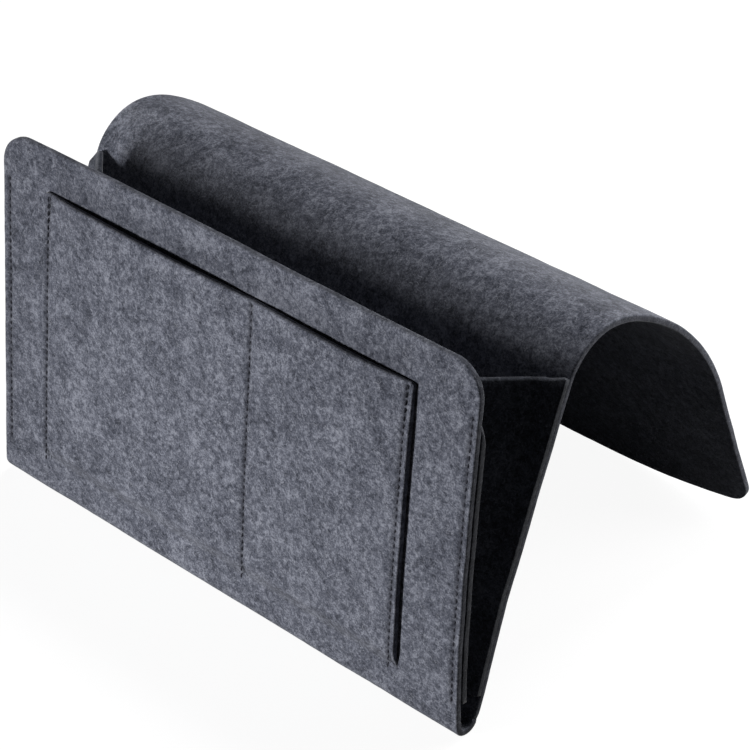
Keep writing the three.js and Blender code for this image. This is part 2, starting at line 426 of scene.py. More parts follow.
def on_back(x: np.ndarray, height: np.ndarray, lift: np.ndarray) -> np.ndarray:
    """Points by their place on the back wall, as on_panel gives them."""
    return on_panel(Panel.BACK, x, height, lift)


def on_patch(x: np.ndarray, height: np.ndarray, lift: np.ndarray) -> np.ndarray:
    """Points by their place on the patch, whose left side leans out towards its foot."""
    leftness = np.clip((PATCH.divider - x) / (PATCH.divider - PATCH.left), 0.0, 1.0)
    return on_front(x - PATCH.left_lean * leftness * (1.0 - height / PATCH.top), height, lift)


def on_strip(x: np.ndarray, along: np.ndarray, lift: np.ndarray) -> np.ndarray:
    """Points by their place on the strip.

    Args:
        x: Places along the caddy.
        along: Distances along the strip from the top of the front panel.
        lift: Distances from the middle of the felt, to the side that is outside on the front panel.

    Returns:
        Points in metres.
    """
    points, normals = PATH.at(along)
    side = points + lift[:, None] * normals
    front_height = STRIP.front_length - along
    back_height = along - FOLD_END
    sway = np.where(front_height > 0, SOFT.sway_at(x, np.maximum(front_height, 0.0)), 0.0)
    side = side - sway[:, None] * normals
    spread_x = np.where(
        front_height > 0,
        SOFT.spread(Panel.FRONT, x, np.maximum(front_height, 0.0)),
        SOFT.spread(Panel.BACK, x, np.maximum(back_height, 0.0)),
    )
    return np.column_stack([spread_x, side])


@dataclass(frozen=True)
class Unevenness:
    """Small swells and lumps that keep felt from looking like board."""

    swell: float = 0.00028
    swell_size: float = 0.026
    lump: float = 0.00009
    lump_size: float = 0.0045
    seed: int = 4

    def move(self, points: np.ndarray) -> np.ndarray:
        """Shift points by a smooth noise of their place.

        Args:
            points: Points in metres.

        Returns:
            The shifted points.
        """
        noise.seed_set(self.seed)
        shifted = points.copy()
        for depth, size in ((self.swell, self.swell_size), (self.lump, self.lump_size)):
            shifts = [noise.noise_vector(Vector(point / size)) for point in points]
            shifted += depth * np.array([tuple(shift) for shift in shifts])
        return shifted


UNEVEN = Unevenness()


@dataclass(frozen=True)
class Rim:
    """Rounding of the four edges of a cut piece of felt."""

    first_row: float = STRIP.edge
    last_row: float = STRIP.edge
    first_column: float = STRIP.edge
    last_column: float = STRIP.edge


# Stages of a rounded cut edge, the painted shade on it, and the most of the thickness that it takes from a
# face
RIM_STEPS = 3
RIM_SHADE = 0.55
RIM_DEPTH = 0.45


def rim_profile() -> list[tuple[float, float, float]]:
    """Stages of a rounded cut edge, from one face of the felt to the other.

    Returns:
        For each stage the share of the rounding that it stands out, the share that it drops
        from its face, and 0 or 1 for the upper or the lower face.
    """
    quarter = [math.pi / 2 * step / RIM_STEPS for step in range(1, RIM_STEPS + 1)]
    upper = [(math.sin(turn), 1.0 - math.cos(turn), 0.0) for turn in quarter]
    lower = [(out, drop, 1.0) for out, drop, _ in reversed(upper)]
    return upper + lower


class FeltCut:
    """A closed piece of felt over a grid of flat stations, with rounded cut edges."""

    def __init__(
        self,
        across: np.ndarray,
        along: np.ndarray,
        top: np.ndarray,
        bottom: np.ndarray,
        rim: Rim,
        over: np.ndarray | float = 0.0,
        under: np.ndarray | float = 0.0,
    ) -> None:
        """Cut the felt.

        Args:
            across: Grid of places across the felt, short of the edge by the rim's rounding.
            along: Grid of places along the felt.
            top: Grid of heights of the upper face from the middle of the felt.
            bottom: Grid of heights of the lower face.
            rim: Rounding of the four edges.
            over: Shares by which the upper face is darkened, along its seams partly as painted shade in
                their grooves, and elsewhere as painted shade.
            under: Shares of painted shade on the lower face.
        """
        self.shape = across.shape
        self.rim = rim
        loop = self.border()
        radii = self.roundings()[loop]
        edge = np.stack([across[loop], along[loop]], -1)
        ahead = np.roll(edge, -1, 0)
        tangent = ahead - np.roll(edge, 1, 0)
        tangent /= np.linalg.norm(tangent, axis=1, keepdims=True)
        turning = np.sum(edge[:, 0] * ahead[:, 1] - edge[:, 1] * ahead[:, 0])
        outward = np.column_stack([tangent[:, 1], -tangent[:, 0]]) * np.sign(turning)
        soft = np.minimum(radii, (top[loop] - bottom[loop]) * RIM_DEPTH)
        layers = [np.column_stack([across.ravel(), along.ravel(), face.ravel()]) for face in (top, bottom)]
        shades = [np.broadcast_to(shade, self.shape).ravel() for shade in (over, under)]
        for out, drop, lower in rim_profile():
            face = bottom[loop] + soft * drop if lower else top[loop] - soft * drop
            layers.append(np.column_stack([edge + outward * (radii * out)[:, None], face]))
            # Painted shade on the cut edge, deepest at its outermost stage
            shades.append(np.full(len(edge), RIM_SHADE * out**2))
        self.flat = np.concatenate(layers)
        self.pressed = np.concatenate(shades)
        self.faces = self.make_faces(loop)

    def border(self) -> tuple[np.ndarray, np.ndarray]:
        """Walk round the edge.

        Returns:
            Rows and columns of the stations on it, in order.
        """
        rows, columns = self.shape
        first = [(0, j) for j in range(columns)]
        right = [(i, columns - 1) for i in range(1, rows)]
        last = [(rows - 1, j) for j in range(columns - 2, -1, -1)]
        left = [(i, 0) for i in range(rows - 2, 0, -1)]
        stops = np.array(first + right + last + left)
        return stops[:, 0], stops[:, 1]

    def roundings(self) -> np.ndarray:
        """Set the rounding of each edge.

        Returns:
            A grid with the rounding at its border, where a corner takes the lesser of its two edges.
        """
        radii = np.full(self.shape, STRIP.width)
        sides = (
            (np.s_[0, :], self.rim.first_row),
            (np.s_[-1, :], self.rim.last_row),
            (np.s_[:, 0], self.rim.first_column),
            (np.s_[:, -1], self.rim.last_column),
        )
        for side, radius in sides:
            radii[side] = np.minimum(radii[side], radius)
        return radii

    def make_faces(self, loop: tuple[np.ndarray, np.ndarray]) -> np.ndarray:
        """Join the stations into quads.

        Args:
            loop: Rows and columns of the stations round the edge.

        Returns:
            Vertex indices, four to a quad.
        """
        rows, columns = self.shape
        count = rows * columns
        grid = np.arange(count).reshape(rows, columns)
        upper = np.stack([grid[:-1, :-1], grid[:-1, 1:], grid[1:, 1:], grid[1:, :-1]], -1).reshape(-1, 4)
        lower = upper[:, ::-1] + count
        edge = grid[loop]
        stages = 2 * RIM_STEPS
        rings = [edge]
        rings += [2 * count + stage * len(edge) + np.arange(len(edge)) for stage in range(stages)]
        rings.append(edge + count)
        bands = [
            np.stack([above, below, np.roll(below, -1), np.roll(above, -1)], -1)
            for above, below in zip(rings[:-1], rings[1:])
        ]
        return np.concatenate([upper, lower, *bands])

    def fold(self, name: str, place: Place, material: bpy.types.Material) -> bpy.types.Object:
        """Fold the felt into place.

        Args:
            name: Name of the piece.
            place: Gives points from flat places across and along the felt and from heights.
            material: Finish of the piece.

        Returns:
            The piece.
        """
        points = UNEVEN.move(place(*self.flat.T))
        piece = make_piece(name, points, self.faces, material)
        pressed = piece.data.attributes.new(SEAM_AND_PAINTED_SHADE, "FLOAT", "POINT")
        pressed.data.foreach_set("value", self.pressed.astype(np.float32))
        return piece


def put(name: str, data: bpy.types.ID) -> bpy.types.Object:
    """Put a new object into the scene.

    Args:
        name: Name of the object.
        data: Its mesh, light or camera.

    Returns:
        The object.
    """
    item = bpy.data.objects.new(name, data)
    bpy.context.scene.collection.objects.link(item)
    return item


def make_piece(
    name: str,
    points: np.ndarray,
    faces: np.ndarray | Sequence[Sequence[int]],
    material: bpy.types.Material,
) -> bpy.types.Object:
    """Make a smooth mesh object whose faces point outwards.

    Args:
        name: Name of the piece.
        points: Vertices.
        faces: Vertex indices of the closed mesh's faces.
        material: Finish of the piece.

    Returns:
        The piece, linked to the scene.
    """
    mesh = bpy.data.meshes.new(name)
    mesh.from_pydata(points.tolist(), [], [list(map(int, face)) for face in faces])
    mesh.validate()
    mesh.calc_loop_triangles()
    corners = np.array([tuple(triangle.vertices) for triangle in mesh.loop_triangles])
    a, b, c = (points[corners[:, k]] for k in range(3))
    if np.sum(a * np.cross(b, c)) < 0:
        mesh.flip_normals()
    mesh.shade_smooth()
    mesh.materials.append(material)
    return put(name, mesh)


def stations(start: float, end: float, step: float, marks: Sequence[float] = ()) -> np.ndarray:
    """Even stations, with close ones round each mark so that a pressed line has room to bend.

    Args:
        start: First station.
        end: Last station.
        step: Greatest distance between two stations.
        marks: Places of pressed lines.

    Returns:
        The stations in order.
    """
    count = max(1, math.ceil((end - start) / step))
    even = np.linspace(start, end, count + 1)
    clear = STITCH.groove_clear * STITCH.groove_width
    for mark in marks:
        even = even[(np.abs(even - mark) > clear) | (even == start) | (even == end)]
    close = [mark + stop * STITCH.groove_width for mark in marks for stop in STITCH.groove_stops]
    inside = [place for place in close if start + STRIP.edge < place < end - STRIP.edge]
    return np.sort(np.concatenate([even, inside]))


@dataclass(frozen=True)
class SeamLine:
    """A straight row of stitches on a face of felt, by its place across and its two ends along."""

    x: float
    low: float
    high: float

    def press(self, x: np.ndarray, along: np.ndarray) -> np.ndarray:
        """How strongly the stitches press the felt.

        Args:
            x: Places across the felt.
            along: Places along it.

        Returns:
            Shares from 0 to 1.
        """
        near = np.exp(-(((x - self.x) / STITCH.groove_width) ** 2))
        soft = STITCH.pitch
        held = ease((along - self.low) / soft + 0.5) * ease((self.high - along) / soft + 0.5)
        pucker = 1.0 - STITCH.pucker * np.cos(2.0 * math.pi * (self.high - along) / STITCH.pitch)
        return near * held * pucker / (1.0 + STITCH.pucker)


FRONT_SEAMS = {
    End.LEFT: SeamLine(STRIP.seam_inset_left - STRIP.width / 2, GUSSET.bottom, GUSSET.top),
    End.RIGHT: SeamLine(STRIP.width / 2 - STRIP.seam_inset, GUSSET.bottom, GUSSET.top),
}
BACK_SEAMS = {
    end: SeamLine(
        end.value * (STRIP.width / 2 - STRIP.seam_inset),
        GUSSET.bottom,
        min(GUSSET.top, STRIP.back_length) - STITCH.end_inset,
    )
    for end in End
}
PATCH_SEAMS = {
    name: SeamLine(x, PATCH.bottom + STITCH.end_inset, PATCH.top - STRIP.edge)
    for name, x in (
        ("left", PATCH.left + PATCH.seam),
        ("divider", PATCH.divider),
        ("right", PATCH.right - PATCH.seam),
    )
}


def mouth_shade(x: np.ndarray, height: np.ndarray) -> np.ndarray:
    """Painted shade that darkens the panel along the mouths of the patch.

    Args:
        x: Places along the caddy.
        height: Heights up the panel from the fold.

    Returns:
        Shares from 0 to 1.
    """
    inside = ease((x - PATCH.left) / PATCH.pinch_width) * ease((PATCH.right - x) / PATCH.pinch_width)
    return PATCH.mouth_shade * inside * np.exp(-(((height - PATCH.top) / PATCH.shade_reach) ** 2))


def linear(channel: float) -> float:
    """Linear value of an 8-bit sRGB channel."""
    share = channel / 255.0
    return share / 12.92 if share <= 0.04045 else ((share + 0.055) / 1.055) ** 2.4


def colour(red: float, green: float, blue: float) -> tuple[float, float, float, float]:
    """Linear colour with full alpha from 8-bit sRGB channels."""
    return linear(red), linear(green), linear(blue), 1.0


def grey(level: float) -> tuple[float, float, float, float]:
    """Linear grey of a level from 0 to 1, with full alpha."""
    return level, level, level, 1.0


WHITE = grey(1.0)


class NodeBench:
    """Adds and wires the nodes of one shader tree."""

    def __init__(self, tree: bpy.types.NodeTree) -> None:
        """Start with an empty tree."""
        self.tree = tree
        tree.nodes.clear()

    def add(self, kind: str, values: dict | None = None, **settings: object) -> bpy.types.Node:
        """Add a node.

        Args:
            kind: Blender's name of the node type.
            values: Socket values or output sockets to wire in, by the input's name or number.
            **settings: Properties of the node.

        Returns:
            The node.
        """
        node = self.tree.nodes.new(kind)
        for name, value in settings.items():
            setattr(node, name, value)
        for socket, value in (values or {}).items():
            if isinstance(value, bpy.types.NodeSocket):
                self.tree.links.new(value, node.inputs[socket])
            else:
                node.inputs[socket].default_value = value
        return node

    def math(self, operation: str, *values: object) -> Socket:
        """Add a sum and give its result."""
        return self.add("ShaderNodeMath", dict(enumerate(values)), operation=operation).outputs[0]

    def noise(self, place: Socket, size: float, seed: float, **values: float) -> Socket:
        """Add a noise whose features have a size in metres.

        Args:
            place: Texture coordinates.
            size: Size of the features.
            seed: Place in the noise's fourth dimension.
            **values: Detail, Roughness and Distortion.

        Returns:
            The noise's value, about 0.5 on average.
        """
        sockets = {"Vector": place, "Scale": 1.0 / size, "W": seed, **values}
        return self.add("ShaderNodeTexNoise", sockets, noise_dimensions="4D").outputs[0]

    def remap(self, value: Socket, low: float, high: float, to_low: float, to_high: float) -> Socket:
        """Map a range of values smoothly to another one and give the result."""
        sockets = {"Value": value, "From Min": low, "From Max": high, "To Min": to_low, "To Max": to_high}
        return self.add("ShaderNodeMapRange", sockets, interpolation_type="SMOOTHSTEP").outputs[0]

    def mix(self, share: Socket, first: object, second: object) -> Socket:
        """Mix two colours and give the result."""
        return self.add("ShaderNodeMix", {0: share, 6: first, 7: second}, data_type="RGBA").outputs[2]

    def bump(self, height: Socket, strength: float, depth: float) -> Socket:
        """Add relief of a depth in metres and give its normal."""
        sockets = {"Height": height, "Strength": strength, "Distance": depth}
        return self.add("ShaderNodeBump", sockets).outputs[0]

    def surface(self, values: dict) -> None:
        """Add the main shader with its socket values, and the output that shows it."""
        shader = self.add("ShaderNodeBsdfPrincipled", values)
        self.add("ShaderNodeOutputMaterial", {"Surface": shader.outputs[0]})


def new_material(name: str) -> tuple[bpy.types.Material, NodeBench]:
    """Start a material.

    Args:
        name: Name of the material.

    Returns:
        The material, and the bench for its empty shader tree.
    """
    material = bpy.data.materials.new(name)
    material.use_nodes = True
    return material, NodeBench(material.node_tree)


@dataclass(frozen=True)
class Mottle:
    """One layer of mottling: the size of its spots in metres, its share of the tone and its noise."""

    size: float
    share: float
    seed: float
    detail: float
    roughness: float = 0.5
    distortion: float = 0.0

    def level(self, bench: NodeBench, place: Socket) -> Socket:
        """Add the layer's noise at some texture coordinates and give its value."""
        values = {"Detail": self.detail, "Roughness": self.roughness, "Distortion": self.distortion}
        return bench.noise(place, self.size, self.seed, **values)


@dataclass(frozen=True)
class LooseHairs:
    """Short curved hairs that lie in every direction, drawn where a noise crosses its middle."""

    layers: int = 4
    size: float = 0.0060
    middle: float = 0.5
    width: float = 0.011
    seed_step: float = 3.7
    detail: float = 1.5
    distortion: float = 1.1
    gap_size: float = 0.0032
    gap_seed: float = 20.0
    gap_seed_step: float = 5.3
    gap_detail: float = 1.0
    gap_end: float = 0.47
    whole: float = 0.6

    def draw(self, bench: NodeBench, place: Socket) -> Socket:
        """Draw the hairs.

        Args:
            bench: The material's nodes.
            place: Texture coordinates.

        Returns:
            Strength of the hairs, from 0 to 1.
        """
        curl = {"Detail": self.detail, "Distortion": self.distortion}
        total = None
        for layer in range(self.layers):
            level = bench.noise(place, self.size, self.seed_step * layer, **curl)
            off = bench.math("ABSOLUTE", bench.math("SUBTRACT", level, self.middle))
            line = bench.remap(off, 0.0, self.width, 1.0, 0.0)
            gap_seed = self.gap_seed + self.gap_seed_step * layer
            gaps = bench.noise(place, self.gap_size, gap_seed, Detail=self.gap_detail)
            strand = bench.math("MULTIPLY", line, bench.remap(gaps, self.gap_end, self.whole, 0.0, 1.0))
            total = strand if total is None else bench.math("MAXIMUM", total, strand)
        return total


@dataclass(frozen=True)
class FeltFinish:
    """Mottled needle-punched felt: dark and pale fibres pressed together, with loose pale hairs."""

    name: str
    dark: Colour = (53, 56, 66)
    middle: Colour = (97, 100, 112)
    pale: Colour = (147, 150, 162)
    hair: Colour = (172, 175, 186)
    # Colour that pressed seams and painted shade mix in, by the felt's attribute
    seam: Colour = (30, 32, 40)
    dark_stop: float = 0.40
    middle_stop: float = 0.5
    pale_stop: float = 0.60
    clump: Mottle = Mottle(0.0032, share=0.38, seed=2.0, detail=3.0, roughness=0.6, distortion=0.5)
    cloud: Mottle = Mottle(0.014, share=0.18, seed=1.0, detail=2.0)
    grain: Mottle = Mottle(0.0010, share=0.44, seed=3.0, detail=3.0, roughness=0.7)
    hairs: LooseHairs = LooseHairs()
    hair_share: float = 0.52
    hair_relief: float = 0.35
    seam_share: float = 0.8
    bump: float = 0.45
    bump_depth: float = 0.0006
    roughness: float = 0.95
    specular: float = 0.01
    sheen: float = 0.34
    sheen_roughness: float = 0.5

    def make(self) -> bpy.types.Material:
        """Build the material.

        Returns:
            The material.
        """
        material, bench = new_material(self.name)
        place = bench.add("ShaderNodeTexCoord").outputs["Object"]
        tone = bench.math("MULTIPLY", self.clump.level(bench, place), self.clump.share)
        for layer in (self.cloud, self.grain):
            tone = bench.math("MULTIPLY_ADD", layer.level(bench, place), layer.share, tone)
        ramp = bench.add("ShaderNodeValToRGB", {"Fac": tone})
        stops = ramp.color_ramp.elements
        stops[0].position = self.dark_stop
        stops[0].color = colour(*self.dark)
        stops[1].position = self.pale_stop
        stops[1].color = colour(*self.pale)
        stops.new(self.middle_stop).color = colour(*self.middle)
        hairs = self.hairs.draw(bench, place)
        shown = bench.math("MULTIPLY", hairs, self.hair_share)
        tint = bench.mix(shown, ramp.outputs[0], colour(*self.hair))
        # Darken along pressed seams, partly as painted shade in their grooves, and wherever painted shade is
        # set
        pressed = bench.add("ShaderNodeAttribute", attribute_name=SEAM_AND_PAINTED_SHADE).outputs["Fac"]
        tint = bench.mix(bench.math("MULTIPLY", pressed, self.seam_share), tint, colour(*self.seam))
        relief = bench.math("MULTIPLY_ADD", hairs, self.hair_relief, tone)
        bench.surface(
            {
                "Base Color": tint,
                "Normal": bench.bump(relief, self.bump, self.bump_depth),
                "Roughness": self.roughness,
                "Specular IOR Level": self.specular,
                "Sheen Weight": self.sheen,
                "Sheen Roughness": self.sheen_roughness,
            }
        )
        return material


@dataclass(frozen=True)
class ThreadFinish:
    """Dark sewing thread with the slant of its twist."""

    name: str
    dark: Colour = (13, 14, 22)
    pale: Colour = (34, 36, 50)
    twist: float = 0.0006
    wander: float = 0.6
    bump: float = 0.4
    bump_depth: float = 0.0002
    roughness: float = 0.7
    specular: float = 0.3

    def make(self) -> bpy.types.Material:
        """Build the material.

        Returns:
            The material.
        """
        material, bench = new_material(self.name)
        place = bench.add("ShaderNodeTexCoord").outputs["Object"]
        sockets = {"Vector": place, "Scale": 1.0 / self.twist, "Distortion": self.wander}
        ply = bench.add("ShaderNodeTexWave", sockets, bands_direction="DIAGONAL").outputs["Fac"]
        bench.surface(
            {
                "Base Color": bench.mix(ply, colour(*self.dark), colour(*self.pale)),
                "Normal": bench.bump(ply, self.bump, self.bump_depth),
                "Roughness": self.roughness,
                "Specular IOR Level": self.specular,
            }
        )
        return material


@dataclass(frozen=True)
class PocketShade:
    """Painted shade that darkens the felt inside the main pocket."""

    most: float = 0.40
    start: float = 0.110
    end: float = 0.165

    def at(self, height: np.ndarray) -> np.ndarray:
        """Shares at heights up the back wall, fading out towards the saddle."""
        return self.most * (1.0 - ease((height - self.start) / (self.end - self.start)))


POCKET_SHADE = PocketShade()


@dataclass(frozen=True)
class BendZone:
    """Stretch on both sides of the saddle's crest, with its slant in radians."""

    ahead: float = 0.033
    behind: float = 0.066
    slant: float = math.radians(15.0)


SADDLE_BEND = BendZone()


@dataclass
class FeltStrip:
    """The one long strip of felt: front panel, fold, back wall, saddle and flap."""

    sizes: StripSizes
    material: bpy.types.Material

    @property
    def half(self) -> float:
        """Half the strip's width, short of its rounded edge."""
        return self.sizes.width / 2 - self.sizes.edge

    def rounded_half(self, distance: np.ndarray, radius: float) -> np.ndarray:
        """Narrow the front panel at its rounded corners.

        Args:
            distance: Distances from the top of the panel.
            radius: Radius of the corners.

        Returns:
            Half widths there, short of the rounded edge.
        """
        short = np.clip(radius - distance, 0.0, radius)
        return self.half - radius + np.sqrt(radius**2 - short**2)

    def flap_end_rise(self, x: np.ndarray) -> np.ndarray:
        """Bow the flap's end and round its corners.

        Args:
            x: Places along the caddy.

        Returns:
            How far the end lies above its lowest line there.
        """
        radius = self.sizes.flap_corner - self.sizes.edge
        start = self.sizes.flap_bow_start
        bow = self.sizes.flap_bow_depth * (np.maximum(0.0, np.abs(x) - start) / (self.half - start)) ** 2
        corner = np.clip(np.abs(x) - (self.half - radius), 0.0, radius)
        return bow + radius - np.sqrt(radius**2 - corner**2)

    def front(self) -> bpy.types.Object:
        """Make the front panel and the fold under the pocket.

        Returns:
            The piece.
        """
        sizes = self.sizes
        radius = sizes.front_corner - sizes.edge
        turns = np.linspace(0.0, math.pi / 2, FRONT_CORNER_ROWS)
        corner_rows = radius * (1.0 - np.cos(turns))
        lower_rows = stations(radius, FOLD_END - sizes.edge, FINE_STEP)[1:]
        distances = np.concatenate([corner_rows, lower_rows])
        marks = [seam.x for seam in FRONT_SEAMS.values()]
        columns = stations(-self.half, self.half, COARSE_STEP, marks)
        x = columns[None, :] * (self.rounded_half(distances, radius) / self.half)[:, None]
        along = np.repeat((distances + sizes.edge)[:, None], len(columns), 1)
        height = sizes.front_length - along
        seams = sum(seam.press(x, height) for seam in FRONT_SEAMS.values())
        face = np.full(x.shape, sizes.felt / 2)
        outer = face - STITCH.groove_depth * seams
        # Darken the panel along its seams and with painted shade above the patch's mouths; its inner face
        # gets painted pocket shade
        shade = np.maximum(seams, mouth_shade(x, height))
        cut = FeltCut(x, along, outer, -face, Rim(last_row=JOINED_EDGE), shade, POCKET_SHADE.most)
        piece = cut.fold("front_felt", on_strip, self.material)
        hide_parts("front_panel", "bottom_fold")
        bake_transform(piece)
        return piece

    def back(self) -> bpy.types.Object:
        """Make the back wall, the saddle and the flap.

        Returns:
            The piece.
        """
        sizes = self.sizes
        marks = [seam.x for seam in BACK_SEAMS.values()]
        radius = sizes.flap_corner - sizes.edge
        turns = np.linspace(math.pi / 2, 0.0, FLAP_CORNER_COLUMNS)
        corner = self.half - radius + radius * np.cos(turns)
        middle = stations(-self.half + radius, self.half - radius, COARSE_STEP, marks)
        columns = np.unique(np.concatenate([-corner, middle, corner]).round(COLUMN_DIGITS))
        end = PATH.length - sizes.edge - self.flap_end_rise(columns)
        upper = stations(FOLD_END, FLAP_START, SADDLE_STEP)
        lower = np.linspace(0.0, 1.0, FLAP_ROWS)[1:]
        rows = [np.full(len(columns), place) for place in upper]
        rows += [FLAP_START + (end - FLAP_START) * share for share in lower]
        along = np.array(rows)
        x = np.repeat(columns[None, :], len(along), 0)
        height = along - FOLD_END
        seams = sum(seam.press(x, height) for seam in BACK_SEAMS.values())
        face = np.full(x.shape, sizes.felt / 2)
        outer = face - STITCH.groove_depth * seams
        # Painted shade on the inner face of the back wall, inside the pocket
        shade = POCKET_SHADE.at(height)
        cut = FeltCut(x, along, outer, -face, Rim(first_row=JOINED_EDGE), seams, shade)
        piece = cut.fold("back_felt", on_strip, self.material)
        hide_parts("back_wall", "saddle_front", "saddle_back", "mattress_flap")
        slant = np.array([0.0, math.cos(SADDLE_BEND.slant), math.sin(SADDLE_BEND.slant)])
        end = CREST + SADDLE_BEND.behind * slant
        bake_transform(piece)
        return piece


@dataclass
class PocketPatch:
    """The patch on the front panel, sewn at both sides and along a divider, with two slack mouths."""

    sizes: PatchSizes
    material: bpy.types.Material

    def slack(self, x: np.ndarray, height: np.ndarray) -> np.ndarray:
        """How far the patch stands off the panel between its seams.

        Args:
            x: Places along the caddy.
            height: Heights up the panel.

        Returns:
            Distances from the panel.
        """
        sizes = self.sizes
        seams = [sizes.left + sizes.seam, sizes.divider, sizes.right - sizes.seam]
        rise = np.clip((height - sizes.bottom) / (sizes.top - sizes.bottom), 0.0, 1.0)
        total = np.zeros(x.shape)
        for low, high, most in zip(seams[:-1], seams[1:], (sizes.slack_left, sizes.slack_right)):
            across = (2.0 * x - low - high) / (high - low)
            swell = np.where(np.abs(across) < 1.0, 1.0 - across**2, 0.0)
            total += most * swell * rise**sizes.slack_power
        return total

    def pinched(self, x: np.ndarray, height: np.ndarray) -> np.ndarray:
        """How far the felt is squeezed at the ends of the mouths.

        Args:
            x: Places along the caddy.
            height: Heights up the panel.

        Returns:
            Losses of thickness.
        """
        sizes = self.sizes
        nearest = np.minimum(x - sizes.left, sizes.right - x)
        high = ease((height - sizes.top + sizes.pinch_reach) / sizes.pinch_reach)
        return sizes.pinch * np.exp(-((nearest / sizes.pinch_width) ** 2)) * high

    def make(self) -> bpy.types.Object:
        """Make the patch, thinned towards its lower edge, where it is pressed into the panel.

        Returns:
            The piece, riding on the front.
        """
        sizes = self.sizes
        edge = STRIP.edge
        marks = [seam.x for seam in PATCH_SEAMS.values()]
        columns = stations(sizes.left + edge, sizes.right - edge, COARSE_STEP, marks)
        rows = stations(sizes.bottom, sizes.top - sizes.mouth_edge, FINE_STEP)[::-1]
        x, height = np.meshgrid(columns, rows)
        pressed = ease((height - sizes.bottom) / sizes.taper)
        panel_face = STRIP.felt / 2
        seams = sum(seam.press(x, height) for seam in PATCH_SEAMS.values())
        lift = self.slack(x, height) - STITCH.groove_depth * seams
        outer = panel_face - sizes.thin / 2 + (STRIP.felt + STRIP.seam_gap + sizes.thin / 2) * pressed + lift
        inner = outer + STITCH.groove_depth * seams - sizes.thin - (STRIP.felt - sizes.thin) * pressed
        outer = outer - self.pinched(x, height)
        cut = FeltCut(x, height, outer, inner, Rim(first_row=sizes.mouth_edge, last_row=JOINED_EDGE), seams)
        piece = cut.fold("pocket_patch_felt", on_patch, self.material)
        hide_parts("pocket_patch")
        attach(piece, "front")
        return piece


